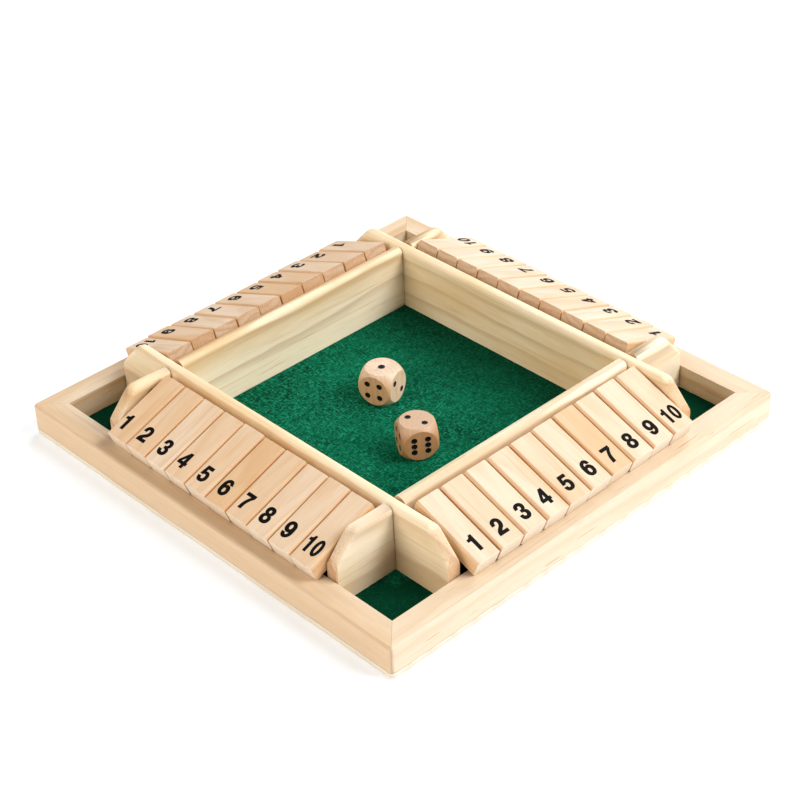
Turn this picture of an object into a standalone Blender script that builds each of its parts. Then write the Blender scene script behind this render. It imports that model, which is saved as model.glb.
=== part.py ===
"""Shut the box game for four players, in wood.

A square tray with a felt floor is divided by four crossing walls into a dice well in the middle
and a row of ten number tiles along each side. Each row turns on its own rod. Units are metres and
+Z is up. The origin is the middle of the tray's underside.
"""

import math

import bmesh
import bpy
from mathutils import Matrix, Vector

# Gap kept between two pieces that rest on each other or pass through each other
REST_GAP = 0.0003
# How far a cutter runs past the surface that it opens
OVERRUN = 0.002

# Tray: base board, felt and four mitred rails
TRAY_SIDE = 0.222
TRAY_HEIGHT = 0.015
TRAY_CORNER_RADIUS = 0.002
BASE_THICKNESS = 0.0027
RAIL_WIDTH = 0.0112
RAIL_EDGE_RADIUS = 0.0013
FELT_THICKNESS = 0.001
FELT_EDGE_GAP = 0.0004

# Walls round the dice well. Between each wall and its rail is the bay of a row of tiles.
TILE_BAY = 0.0296
WALL_THICKNESS = 0.006
WALL_HEIGHT = 0.0299
WALL_END_GAP = 0.0005
WALL_SLOPE_RUN = 0.0102
WALL_SLOPE_DROP = 0.011
WALL_EDGE_RADIUS = 0.0024

# Rods that the tiles turn on, in blind sockets in the walls
ROD_DIAMETER = 0.003
ROD_SIDES = 12
ROD_FROM_WALL = 0.011
ROD_BELOW_WALL_TOP = 0.006
ROD_SOCKET_DEPTH = 0.004
ROD_END_CHAMFER = 0.0003

# Number tiles
TILES_PER_SIDE = 10
TILE_THICKNESS = 0.0085
TILE_EDGE = 0.001
TILE_GAP = 0.0005
TILE_END_TO_ROD = 0.0087
TILE_PAST_RAIL_EDGE = 0.0074
# The free play left on the rod: most of it lies at tile 1, because each row is pushed to tile 10
ROW_FIRST_GAP = 0.0023
ROW_LAST_GAP = 0.0005

# Dice
DIE_SIDE = 0.0157
DIE_ROUNDING_DIAMETER = 0.0211
DIE_SEGMENTS = 28
DIE_RINGS = 16
PIP_RADIUS = 0.00115
PIP_PITCH = 0.0029
PIP_DEPTH = 0.0005
PIP_SIDES = 10
# Where each die lies, as shares of the well's side from its middle
DIE_1_PLACE_SHARES = (-0.135, 0.045)
DIE_1_TURN = math.radians(18.2)
DIE_2_PLACE_SHARES = (0.167, -0.087)
DIE_2_TURN = math.radians(59.8)

# Levels and places that follow from the sizes above
RAIL_BOTTOM = BASE_THICKNESS + REST_GAP
FELT_TOP = RAIL_BOTTOM + FELT_THICKNESS
WALL_BOTTOM = FELT_TOP + REST_GAP
WALL_TOP = WALL_BOTTOM + WALL_HEIGHT
RAIL_INNER = TRAY_SIDE / 2 - RAIL_WIDTH
WALL_OUTER = RAIL_INNER - TILE_BAY
WALL_MIDDLE = WALL_OUTER - WALL_THICKNESS / 2
WALL_INNER = WALL_OUTER - WALL_THICKNESS
WELL_SIDE = 2 * WALL_INNER
WALL_END = RAIL_INNER - WALL_END_GAP
ROD_X = WALL_OUTER + ROD_FROM_WALL
ROD_Z = WALL_TOP - ROD_BELOW_WALL_TOP
BORE_RADIUS = (ROD_DIAMETER / 2 + REST_GAP) / math.cos(math.pi / ROD_SIDES)
TILE_PITCH = (WELL_SIDE - ROW_FIRST_GAP - ROW_LAST_GAP + TILE_GAP) / TILES_PER_SIDE
TILE_WIDTH = TILE_PITCH - TILE_GAP
TILE_LENGTH = TILE_END_TO_ROD + RAIL_INNER - ROD_X + TILE_PAST_RAIL_EDGE
ROW_SHIFT = (ROW_FIRST_GAP - ROW_LAST_GAP) / 2
DIE_Z = FELT_TOP + REST_GAP + DIE_SIDE / 2

# Each side of the tray is the east side turned about the middle
SIDES = {
    "east": 0.0,
    "north": math.pi / 2,
    "west": math.pi,
    "south": -math.pi / 2,
}


def clear_scene():
    """Removes every object, mesh and material that the scene opened with."""
    for obj in list(bpy.data.objects):
        bpy.data.objects.remove(obj, do_unlink=True)
    for mesh in list(bpy.data.meshes):
        bpy.data.meshes.remove(mesh)
    for material in list(bpy.data.materials):
        bpy.data.materials.remove(material)


def make_collection(name):
    """Adds a collection under the scene's own and returns it."""
    collection = bpy.data.collections.new(name)
    bpy.context.scene.collection.children.link(collection)
    return collection


def make_material(name, colour, roughness, metallic=0.0):
    """Adds a Principled material with a linear colour."""
    material = bpy.data.materials.new(name)
    material.use_nodes = True
    shader = material.node_tree.nodes["Principled BSDF"]
    shader.inputs["Base Color"].default_value = (*colour, 1.0)
    shader.inputs["Roughness"].default_value = roughness
    shader.inputs["Metallic"].default_value = metallic
    return material


def mesh_object(name, bm, collection, material=None):
    """Turns a bmesh into an object with flat faces, and frees the bmesh."""
    bmesh.ops.recalc_face_normals(bm, faces=bm.faces[:])
    mesh = bpy.data.meshes.new(name)
    bm.to_mesh(mesh)
    bm.free()
    obj = bpy.data.objects.new(name, mesh)
    collection.objects.link(obj)
    if material is not None:
        mesh.materials.append(material)
    return obj


def add_box(bm, size, centre):
    """Adds a box of the given size about the given centre."""
    verts = bmesh.ops.create_cube(bm, size=1.0)["verts"]
    bmesh.ops.scale(bm, vec=Vector(size), verts=verts)
    bmesh.ops.translate(bm, vec=Vector(centre), verts=verts)


def box_mesh(size, centre):
    """A bmesh that holds one box."""
    bm = bmesh.new()
    add_box(bm, size, centre)
    return bm


def add_cylinder(bm, radius, depth, sides, matrix):
    """Adds a closed cylinder along its own Z axis, placed by a matrix."""
    bmesh.ops.create_cone(
        bm,
        cap_ends=True,
        segments=sides,
        radius1=radius,
        radius2=radius,
        depth=depth,
        matrix=matrix,
    )


def along_y(centre):
    """The matrix that lays a Z cylinder along Y about a centre, with a flat side up."""
    flat_up = Matrix.Rotation(math.pi / ROD_SIDES, 4, "Z")
    return Matrix.Translation(centre) @ Matrix.Rotation(math.pi / 2, 4, "X") @ flat_up


def along_x(centre):
    """The matrix that lays a Z cylinder along X about a centre, with a flat side up."""
    flat_up = Matrix.Rotation(math.pi / ROD_SIDES, 4, "Z")
    return Matrix.Translation(centre) @ Matrix.Rotation(math.pi / 2, 4, "Y") @ flat_up


def weigh_edges(bm, wanted):
    """Gives full bevel weight to each edge that the test picks by its two ends."""
    layer = bm.edges.layers.float.new("bevel_weight_edge")
    for edge in bm.edges:
        if wanted(*[vert.co for vert in edge.verts]):
            edge[layer] = 1.0


def add_bevel(obj, width, segments, by_weight=True):
    """Rounds an object's edges: the weighted ones, or all of them."""
    bevel = obj.modifiers.new("rounded edges", "BEVEL")
    bevel.width = width
    bevel.segments = segments
    bevel.limit_method = "WEIGHT" if by_weight else "ANGLE"
    bevel.use_clamp_overlap = True
    return bevel


def add_boolean(obj, cutter, operation="DIFFERENCE"):
    """Cuts an object with another, by the exact solver."""
    boolean = obj.modifiers.new(operation.lower() + " " + cutter.name, "BOOLEAN")
    boolean.operation = operation
    boolean.solver = "EXACT"
    boolean.object = cutter
    return boolean


def make_cutter(name, bm, cutters):
    """Adds a hidden helper object."""
    cutter = mesh_object(name, bm, cutters)
    cutter.hide_render = True
    cutter.display_type = "WIRE"
    return cutter


def finished_mesh(obj, name):
    """The object's mesh with its modifiers applied. The object itself is removed."""
    graph = bpy.context.evaluated_depsgraph_get()
    mesh = bpy.data.meshes.new_from_object(obj.evaluated_get(graph))
    mesh.name = name
    bpy.data.objects.remove(obj, do_unlink=True)
    return mesh


def place(name, mesh, parts, parent=None, location=(0.0, 0.0, 0.0), rotation=(0.0, 0.0, 0.0)):
    """Adds an object that shares a mesh, under a parent."""
    obj = bpy.data.objects.new(name, mesh)
    parts.objects.link(obj)
    obj.parent = parent
    obj.location = location
    obj.rotation_euler = rotation
    return obj


def same(a, b):
    """Whether two lengths are equal within half of the gap kept between pieces."""
    return abs(a - b) < REST_GAP / 2


def make_base(parts, material):
    """The base board: a plain sheet with the tray's outline."""
    size = (TRAY_SIDE, TRAY_SIDE, BASE_THICKNESS)
    bm = box_mesh(size, (0.0, 0.0, BASE_THICKNESS / 2))
    weigh_edges(bm, lambda a, b: not same(a.z, b.z))
    obj = mesh_object("base_board", bm, parts, material)
    add_bevel(obj, TRAY_CORNER_RADIUS, 3)
    return obj


def make_felt(parts, material):
    """The felt: one square sheet laid on the base board inside the rails."""
    side = 2 * (RAIL_INNER - FELT_EDGE_GAP)
    bm = box_mesh((side, side, FELT_THICKNESS), (0.0, 0.0, RAIL_BOTTOM + FELT_THICKNESS / 2))
    return mesh_object("felt", bm, parts, material)


def make_rail_mesh(parts, cutters, material):
    """One rail for the east side: the rounded tray ring, kept between two mitre planes."""
    height = TRAY_HEIGHT - RAIL_BOTTOM
    middle = RAIL_BOTTOM + height / 2
    bm = box_mesh((TRAY_SIDE, TRAY_SIDE, height), (0.0, 0.0, middle))
    corner_edges = [e for e in bm.edges if not same(e.verts[0].co.z, e.verts[1].co.z)]
    bmesh.ops.bevel(
        bm,
        geom=corner_edges,
        offset=TRAY_CORNER_RADIUS,
        segments=3,
        profile=0.5,
        affect="EDGES",
        material=-1,
    )
    weigh_edges(bm, lambda a, b: same(a.z, TRAY_HEIGHT) and same(b.z, TRAY_HEIGHT))
    ring = mesh_object("rail ring", bm, parts, material)
    add_bevel(ring, RAIL_EDGE_RADIUS, 3)

    opening_size = (2 * RAIL_INNER, 2 * RAIL_INNER, height + 2 * OVERRUN)
    opening = make_cutter("tray opening", box_mesh(opening_size, (0.0, 0.0, middle)), cutters)
    add_boolean(ring, opening)

    # A square prism turned by 45 degrees has its corner on the middle of the tray, and the
    # mitre gap moves it outward so that each rail stops short of its neighbour.
    reach = TRAY_SIDE
    bm = box_mesh((reach, reach, height + 2 * OVERRUN), (reach / 2, reach / 2, middle))
    bmesh.ops.rotate(bm, cent=Vector(), matrix=Matrix.Rotation(-math.pi / 4, 3, "Z"), verts=bm.verts[:])
    bmesh.ops.translate(bm, vec=Vector((REST_GAP / 2 * math.sqrt(2), 0.0, 0.0)), verts=bm.verts[:])
    wedge = make_cutter("mitre wedge", bm, cutters)
    add_boolean(ring, wedge, "INTERSECT")
    return finished_mesh(ring, "rail")


def make_wall_mesh(parts, cutters, material, notched_from_above):
    """A wall of the east side: a board with sloped ends, two half laps and two rod sockets."""
    name = "lower wall" if notched_from_above else "upper wall"
    bm = box_mesh(
        (WALL_THICKNESS, 2 * WALL_END, WALL_HEIGHT),
        (WALL_MIDDLE, 0.0, (WALL_BOTTOM + WALL_TOP) / 2),
    )
    for way in (-1, 1):
        point = Vector((0.0, way * WALL_END, WALL_TOP - WALL_SLOPE_DROP))
        normal = Vector((0.0, way * WALL_SLOPE_DROP, WALL_SLOPE_RUN)).normalized()
        cut = bmesh.ops.bisect_plane(
            bm,
            geom=bm.verts[:] + bm.edges[:] + bm.faces[:],
            plane_co=point,
            plane_no=normal,
            clear_outer=True,
        )
        rim = [e for e in cut["geom_cut"] if isinstance(e, bmesh.types.BMEdge)]
        bmesh.ops.edgenet_fill(bm, edges=rim)
    lowest_rounded = WALL_TOP - WALL_SLOPE_DROP

    def is_rounded(a, b):
        """The long edges of the top and of both slopes, and the edges across where they meet."""
        return a.z > lowest_rounded - REST_GAP and b.z > lowest_rounded - REST_GAP

    weigh_edges(bm, is_rounded)
    board = mesh_object(name, bm, parts, material)
    add_bevel(board, WALL_EDGE_RADIUS, 4)

    half = WALL_BOTTOM + WALL_HEIGHT / 2
    if notched_from_above:
        low, high = half - REST_GAP / 2, WALL_TOP + OVERRUN
    else:
        low, high = WALL_BOTTOM - OVERRUN, half + REST_GAP / 2
    notch_size = (WALL_THICKNESS + 2 * OVERRUN, WALL_THICKNESS + 2 * REST_GAP, high - low)
    depth = ROD_SOCKET_DEPTH + OVERRUN
    bm = bmesh.new()
    for way in (-1, 1):
        add_box(bm, notch_size, (WALL_MIDDLE, way * WALL_MIDDLE, (low + high) / 2))
        centre = Vector((WALL_INNER - OVERRUN + depth / 2, way * ROD_X, ROD_Z))
        add_cylinder(bm, BORE_RADIUS, depth, ROD_SIDES, along_x(centre))
    add_boolean(board, make_cutter(f"{name} notches and sockets", bm, cutters))
    return finished_mesh(board, name)


def make_rod_mesh(parts, material):
    """A rod of the east side, along Y, about the world's own middle."""
    length = 2 * (WALL_INNER + ROD_SOCKET_DEPTH - REST_GAP)
    bm = bmesh.new()
    add_cylinder(bm, ROD_DIAMETER / 2 / math.cos(math.pi / ROD_SIDES), length, ROD_SIDES, along_y(Vector()))
    weigh_edges(bm, lambda a, b: same(a.y, b.y))
    obj = mesh_object("rod", bm, parts, material)
    add_bevel(obj, ROD_END_CHAMFER, 1)
    mesh = finished_mesh(obj, "rod")
    mesh.shade_smooth()
    mesh.set_sharp_from_angle(angle=math.pi / 4)
    return mesh


def make_tile_mesh(parts, cutters, material):
    """A number tile with the rod's axis at its origin: +X is its outer end and +Z its numbered face."""
    bm = box_mesh(
        (TILE_LENGTH, TILE_WIDTH, TILE_THICKNESS),
        (TILE_LENGTH / 2 - TILE_END_TO_ROD, 0.0, 0.0),
    )
    obj = mesh_object("tile", bm, parts, material)
    add_bevel(obj, TILE_EDGE, 1, by_weight=False)
    bm = bmesh.new()
    add_cylinder(bm, BORE_RADIUS, TILE_WIDTH + 2 * OVERRUN, ROD_SIDES, along_y(Vector()))
    add_boolean(obj, make_cutter("tile bore", bm, cutters))
    return finished_mesh(obj, "tile")


def tile_slope():
    """The angle below level at which a tile's outer lower edge meets the rail's top."""
    out = TILE_LENGTH - TILE_END_TO_ROD - TILE_EDGE
    down = TILE_THICKNESS / 2
    drop = ROD_Z - TRAY_HEIGHT - REST_GAP
    return math.asin(drop / math.hypot(out, down)) - math.atan2(down, out)


def pip_places(count):
    """Where a face's pips lie on it, as pairs of steps of the pip pitch."""
    corners = [(-1, -1), (1, 1), (-1, 1), (1, -1)]
    middles = [(-1, 0), (1, 0)]
    if count == 6:
        return corners + middles
    places = {1: [], 2: corners[:2], 3: corners[2:], 4: corners, 5: corners}[count]
    return places + [(0, 0)] * (count % 2)


def make_die_mesh(parts, cutters, material):
    """A die: a cube rounded by a ball about the same middle, with drilled pips.

    One is on top and opposite faces add up to seven.
    """
    obj = mesh_object("die", box_mesh((DIE_SIDE,) * 3, (0.0, 0.0, 0.0)), parts, material)
    bm = bmesh.new()
    bmesh.ops.create_uvsphere(
        bm,
        u_segments=DIE_SEGMENTS,
        v_segments=DIE_RINGS,
        radius=DIE_ROUNDING_DIAMETER / 2,
    )
    add_boolean(obj, make_cutter("die rounding ball", bm, cutters), "INTERSECT")

    faces = {
        1: ("Z", 0.0),
        6: ("X", math.pi),
        2: ("Y", math.pi / 2),
        5: ("Y", -math.pi / 2),
        4: ("X", math.pi / 2),
        3: ("X", -math.pi / 2),
    }
    bm = bmesh.new()
    for count, (axis, angle) in faces.items():
        turn = Matrix.Rotation(angle, 4, axis)
        for across, along in pip_places(count):
            # The six on the underside has its rows along X
            spot = (along, across) if count == 6 else (across, along)
            centre = Vector((spot[0] * PIP_PITCH, spot[1] * PIP_PITCH, DIE_SIDE / 2))
            depth = 2 * PIP_DEPTH
            add_cylinder(bm, PIP_RADIUS, depth, PIP_SIDES, turn @ Matrix.Translation(centre))
    add_boolean(obj, make_cutter("die pips", bm, cutters))
    mesh = finished_mesh(obj, "die")
    mesh.shade_smooth()
    mesh.set_sharp_from_angle(angle=math.pi / 9)
    return mesh


def in_well(shares):
    """The middle of a die on the felt, at shares of the well's side from its middle."""
    return (shares[0] * WELL_SIDE, shares[1] * WELL_SIDE, DIE_Z)


def main():
    """Builds the game with every tile open, as it lies at the start of play."""
    clear_scene()
    parts = make_collection("shut_the_box")
    cutters = make_collection("cutters")

    rail_wood = make_material("rail pine", (0.78, 0.60, 0.38), 0.55)
    wall_wood = make_material("wall pine", (0.74, 0.56, 0.33), 0.55)
    tile_wood = make_material("tile pine", (0.82, 0.62, 0.40), 0.5)
    board_wood = make_material("base plywood", (0.70, 0.56, 0.38), 0.65)
    felt_cloth = make_material("green felt", (0.005, 0.14, 0.065), 0.95)
    steel = make_material("rod steel", (0.45, 0.44, 0.42), 0.35, 1.0)
    die_wood = make_material("die beech", (0.72, 0.48, 0.30), 0.5)

    make_base(parts, board_wood)
    make_felt(parts, felt_cloth)
    rail = make_rail_mesh(parts, cutters, rail_wood)
    lower_wall = make_wall_mesh(parts, cutters, wall_wood, notched_from_above=True)
    upper_wall = make_wall_mesh(parts, cutters, wall_wood, notched_from_above=False)
    rod = make_rod_mesh(parts, steel)
    tile = make_tile_mesh(parts, cutters, tile_wood)
    die = make_die_mesh(parts, cutters, die_wood)

    slope = tile_slope()
    for side, turn in SIDES.items():
        hub = bpy.data.objects.new(f"{side} side", None)
        parts.objects.link(hub)
        hub.rotation_euler = (0.0, 0.0, turn)
        place(f"{side}_rail", rail, parts, hub)
        wall = lower_wall if side in ("east", "west") else upper_wall
        place(f"{side}_wall", wall, parts, hub)
        place(f"{side}_rod", rod, parts, hub, location=(ROD_X, 0.0, ROD_Z))
        for number in range(1, TILES_PER_SIDE + 1):
            along = ROW_SHIFT + (number - (TILES_PER_SIDE + 1) / 2) * TILE_PITCH
            place(
                f"{side}_tile_{number:02d}",
                tile,
                parts,
                hub,
                location=(ROD_X, along, ROD_Z),
                rotation=(0.0, slope, 0.0),
            )

    place("die_1", die, parts, location=in_well(DIE_1_PLACE_SHARES), rotation=(0.0, 0.0, DIE_1_TURN))
    # The second die shows two on top and six to the front: its X, Y and Z point up, along and back
    second = Matrix(((0, 1, 0), (0, 0, 1), (1, 0, 0)))
    turned = (Matrix.Rotation(DIE_2_TURN, 3, "Z") @ second).to_euler()
    place("die_2", die, parts, location=in_well(DIE_2_PLACE_SHARES), rotation=turned)
    bpy.context.view_layer.update()


main()
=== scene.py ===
"""Dresses the shut the box game, a wooden game for four players, in the frame of its CAD model."""

import logging
import math
import random
from dataclasses import dataclass, field
from enum import Enum
from typing import Optional, Union

import bmesh
import bpy
from mathutils import Matrix, Vector, noise


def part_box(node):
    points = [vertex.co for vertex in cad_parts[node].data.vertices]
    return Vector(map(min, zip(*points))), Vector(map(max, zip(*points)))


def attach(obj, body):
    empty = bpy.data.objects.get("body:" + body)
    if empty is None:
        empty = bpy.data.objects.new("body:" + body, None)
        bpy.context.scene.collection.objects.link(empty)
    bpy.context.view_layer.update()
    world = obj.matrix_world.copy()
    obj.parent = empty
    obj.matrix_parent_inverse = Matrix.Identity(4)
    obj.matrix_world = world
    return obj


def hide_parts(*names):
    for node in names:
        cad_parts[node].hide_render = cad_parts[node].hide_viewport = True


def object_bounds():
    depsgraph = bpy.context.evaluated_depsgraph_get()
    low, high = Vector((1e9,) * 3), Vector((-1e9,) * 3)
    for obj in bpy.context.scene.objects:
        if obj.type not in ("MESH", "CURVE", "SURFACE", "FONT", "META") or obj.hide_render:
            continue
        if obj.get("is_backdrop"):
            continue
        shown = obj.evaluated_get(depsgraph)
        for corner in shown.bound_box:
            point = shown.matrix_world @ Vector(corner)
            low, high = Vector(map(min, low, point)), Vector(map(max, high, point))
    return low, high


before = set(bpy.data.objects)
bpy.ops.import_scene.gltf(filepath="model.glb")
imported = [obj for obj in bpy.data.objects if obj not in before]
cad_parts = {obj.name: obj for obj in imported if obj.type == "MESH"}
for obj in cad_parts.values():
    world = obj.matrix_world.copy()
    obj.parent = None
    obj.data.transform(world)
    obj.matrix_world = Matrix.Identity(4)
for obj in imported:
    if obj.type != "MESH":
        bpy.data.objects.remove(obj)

LOG = logging.getLogger("shut_the_box")
CAD_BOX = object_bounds()
MM = 0.001
# Heights that differ by less than this are level
LEVEL = 0.01 * MM

Socket = bpy.types.NodeSocket
NodeValue = Union[Socket, float, tuple[float, ...]]

# Settings that many nodes share
TIMES = {"operation": "MULTIPLY"}
TIMES_PLUS = {"operation": "MULTIPLY_ADD"}
PLUS = {"operation": "ADD"}
SIZE_OF = {"operation": "ABSOLUTE"}
SOFTLY = {"interpolation_type": "SMOOTHSTEP"}
BLEND = {"data_type": "RGBA"}
TINT = {"data_type": "RGBA", "blend_type": "MULTIPLY"}


class Side(Enum):
    """The four sides of the tray: each is the east side turned about the middle."""

    EAST = ("east", 0.0)
    NORTH = ("north", math.pi / 2)
    WEST = ("west", math.pi)
    SOUTH = ("south", -math.pi / 2)

    @property
    def word(self) -> str:
        """The side's name as the CAD nodes spell it."""
        return self.value[0]

    @property
    def turn(self) -> Matrix:
        """The turn about the middle that carries the east side here."""
        return Matrix.Rotation(self.value[1], 4, "Z")


class Lay(Enum):
    """Which way a plank's grain and its width lie, seen on the east side."""

    TILE = ((1.0, 0.0, 0.0), (0.0, 1.0, 0.0))
    WALL = ((0.0, 1.0, 0.0), (0.0, 0.0, 1.0))
    RAIL = ((0.0, 1.0, 0.0), (1.0, 0.0, 0.0))
    BLOCK = ((0.0, 0.0, 1.0), (1.0, 0.0, 0.0))
    LYING_BLOCK = ((1.0, 0.0, 0.0), (0.0, 0.0, 1.0))

    @property
    def along(self) -> Vector:
        """The direction of the grain."""
        return Vector(self.value[0])

    @property
    def across(self) -> Vector:
        """The direction of the plank's width."""
        return Vector(self.value[1])


@dataclass(frozen=True)
class SideLook:
    """What sets one side's pieces apart from the other sides': partly their own wood, partly painted light
    and shade.

    Attributes:
        rail_tone: The rail's tone, from -1 pale to 1 deep: partly the board's own, partly painted light and
            shade.
        wall_tone: The wall's tone: partly the board's own, partly painted light and shade.
        rail_rise: How much deeper the rail's outer face is than its middle: painted shade on the south
            rail's outer face, which looks away from the key light, and painted light on its top by the
            tiles.
        wall_rise: How much deeper the wall's top is than its middle.
        wall_heart: Where the heart of the wall's tree was: far to one side where it was quartered.
        tile_tone: What the tones of all the row's tiles are moved by: the north row's paler tone is a
            painted highlight, the back light's glare on its tops.
        deep_tiles: The tones of the tiles that stand out, by their numbers.
        inner_tint: How much of the end grain's tint the tiles' inner ends keep.
        planing: How much thinner than its fellows a tile may be, in metres.
        chamfers: How wide the tiles' chamfers are, as a share of the usual.
        print_shift: How far off the tiles' middle the numbers are printed, in metres.
    """

    rail_tone: float
    wall_tone: float
    rail_rise: float = 0.0
    wall_rise: float = 0.0
    wall_heart: tuple[float, float] = (61.0 * MM, 12.0 * MM)
    tile_tone: float = 0.0
    deep_tiles: dict[int, float] = field(default_factory=dict)
    inner_tint: float = 0.15
    planing: float = 0.45 * MM
    chamfers: float = 1.0
    print_shift: float = 0.0


# The tones are partly painted light and shade: a side whose seen faces look toward the key light is paler,
# one whose faces look away is deeper, and the north tiles are paler to paint the back light's glare
LOOKS = {
    Side.EAST: SideLook(
        rail_tone=-0.6,
        wall_tone=-0.35,
        wall_heart=(24.0 * MM, 52.0 * MM),
        tile_tone=0.2,
        deep_tiles={7: 0.8},
        planing=0.8 * MM,
        chamfers=1.45,
    ),
    Side.NORTH: SideLook(rail_tone=0.1, wall_tone=0.45, tile_tone=-0.6, inner_tint=0.65),
    Side.WEST: SideLook(
        rail_tone=-0.1,
        wall_tone=-0.75,
        wall_rise=1.4,
        wall_heart=(40.0 * MM, -38.0 * MM),
        tile_tone=0.15,
        deep_tiles={5: 0.8, 9: 0.6},
        inner_tint=0.8,
    ),
    Side.SOUTH: SideLook(
        rail_tone=0.45,
        wall_tone=0.25,
        # The south rail's outer face is painted in shade, and its top by the tiles painted lighter
        rail_rise=0.95,
        wall_heart=(22.0 * MM, -50.0 * MM),
        deep_tiles={1: 0.55, 2: 0.45, 6: 1.3},
        print_shift=-1.6 * MM,
    ),
}


def linear(code: str) -> tuple[float, float, float, float]:
    """Turns an sRGB hex value into a linear colour.

    Args:
        code: The colour as six hex digits after a number sign.

    Returns:
        Red, green, blue and a full alpha.
    """
    shares = [int(code[i : i + 2], 16) / 255 for i in (1, 3, 5)]
    parts = [c / 12.92 if c <= 0.04045 else ((c + 0.055) / 1.055) ** 2.4 for c in shares]
    return (parts[0], parts[1], parts[2], 1.0)


def feed(tree: bpy.types.NodeTree, node: bpy.types.Node, values: dict[Union[int, str], NodeValue]) -> None:
    """Gives a node's inputs their values.

    Args:
        tree: The node tree.
        node: The node.
        values: What each input gets: a socket is linked, and anything else is set.
    """
    for name, value in values.items():
        if isinstance(value, Socket):
            tree.links.new(value, node.inputs[name])
        else:
            node.inputs[name].default_value = value


def add_node(
    tree: bpy.types.NodeTree,
    kind: str,
    settings: Optional[dict[str, object]] = None,
    values: Optional[dict[Union[int, str], NodeValue]] = None,
    output: Optional[str] = None,
) -> Socket:
    """Adds a node with its settings and its links.

    Args:
        tree: The node tree that takes the node.
        kind: The node's type, without the ShaderNode that it starts with.
        settings: Properties of the node itself.
        values: What each input gets.
        output: The output that is wanted, if it isn't the first one in use.

    Returns:
        The node's output.
    """
    node = tree.nodes.new("ShaderNode" + kind)
    for name, setting in (settings or {}).items():
        setattr(node, name, setting)
    feed(tree, node, values or {})
    return node.outputs[output] if output else next(way for way in node.outputs if way.enabled)


def open_material(name: str) -> tuple[bpy.types.Material, bpy.types.NodeTree, bpy.types.Node]:
    """Starts a material.

    Args:
        name: The material's name.

    Returns:
        The material, its node tree and its Principled shader.
    """
    material = bpy.data.materials.new(name)
    material.use_nodes = True
    tree = material.node_tree
    return material, tree, tree.nodes["Principled BSDF"]


def close_mesh(bm: bmesh.types.BMesh, name: str, smooth_angle: float = 40.0) -> bpy.types.Mesh:
    """Turns a bmesh into a mesh with outward faces, and frees it.

    Args:
        bm: The shape.
        name: The mesh's name.
        smooth_angle: The angle in degrees from which an edge stays sharp.

    Returns:
        The mesh.
    """
    bmesh.ops.recalc_face_normals(bm, faces=bm.faces[:])
    mesh = bpy.data.meshes.new(name)
    bm.to_mesh(mesh)
    bm.free()
    mesh.shade_smooth()
    mesh.set_sharp_from_angle(angle=math.radians(smooth_angle))
    return mesh


def bevel(bm: bmesh.types.BMesh, edges: list[bmesh.types.BMEdge], width: float, segments: int) -> None:
    """Breaks the edges of a shape.

    Args:
        bm: The shape.
        edges: Its edges to break.
        width: How far back they are cut, in metres.
        segments: How many faces the cut has: one makes a chamfer.
    """
    bmesh.ops.bevel(
        bm, geom=edges, offset=width, segments=segments, profile=0.5, affect="EDGES", material=-1
    )


def drop(edge: bmesh.types.BMEdge) -> float:
    """The difference in height between an edge's ends."""
    return abs(edge.verts[0].co.z - edge.verts[1].co.z)


def show(
    mesh: bpy.types.Mesh,
    name: str,
    material: Optional[bpy.types.Material],
    body: str,
    node: Optional[str] = None,
    even_normals: bool = True,
) -> bpy.types.Object:
    """Puts a finished mesh in the scene and reports it.

    Args:
        mesh: The mesh, with its place in its vertices.
        name: The piece's name.
        material: Its material, or None where the mesh has its own already.
        body: The CAD body that it rides on.
        node: The CAD node that it stands for, if any.
        even_normals: Whether the flat faces keep flat shading beside rounded edges.

    Returns:
        The piece.
    """
    piece = bpy.data.objects.new(name, mesh)
    bpy.context.scene.collection.objects.link(piece)
    if material is not None:
        mesh.materials.clear()
        mesh.materials.append(material)
    if even_normals:
        weighted = piece.modifiers.new("flat faces stay flat", "WEIGHTED_NORMAL")
        weighted.keep_sharp = True
        weighted.weight = 80
    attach(piece, body)
    if node is not None:
        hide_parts(node)
    LOG.info("%s: %d faces, rides on %s", name, len(mesh.polygons), body)
    return piece


def carried_over(node: str, name: str) -> bpy.types.Mesh:
    """Copies a CAD node's mesh, merged and with its flat faces whole again.

    Args:
        node: The CAD node.
        name: The new mesh's name.

    Returns:
        The copy.
    """
    bm = bmesh.new()
    bm.from_mesh(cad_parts[node].data)
    bmesh.ops.remove_doubles(bm, verts=bm.verts[:], dist=0.002 * MM)
    flat = math.radians(0.5)
    bmesh.ops.dissolve_limit(bm, angle_limit=flat, verts=bm.verts[:], edges=bm.edges[:])
    return close_mesh(bm, name)


def cut_by(mesh: bpy.types.Mesh, cutter: bpy.types.Mesh, operation: str, name: str) -> bpy.types.Mesh:
    """Cuts one closed mesh by another.

    Args:
        mesh: The shape to cut. It is used up.
        cutter: The cutting shape. It is used up.
        operation: DIFFERENCE or INTERSECT.
        name: The result's name.

    Returns:
        The cut mesh.
    """
    blank = bpy.data.objects.new("blank", mesh)
    tool = bpy.data.objects.new("cutter", cutter)
    for helper in (blank, tool):
        bpy.context.scene.collection.objects.link(helper)
    boolean = blank.modifiers.new("cut", "BOOLEAN")
    boolean.operation = operation
    boolean.solver = "EXACT"
    boolean.object = tool
    graph = bpy.context.evaluated_depsgraph_get()
    result = bpy.data.meshes.new_from_object(blank.evaluated_get(graph))
    result.name = name
    for helper in (blank, tool):
        bpy.data.objects.remove(helper, do_unlink=True)
    return result


def smooth_step(value: float, low: float, high: float) -> float:
    """Goes softly from 0 at low to 1 at high.

    Args:
        value: The value to map.
        low: Where the result is 0.
        high: Where the result is 1.

    Returns:
        A number from 0 to 1.
    """
    share = min(max((value - low) / (high - low), 0.0), 1.0)
    return share * share * (3 - 2 * share)


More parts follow.
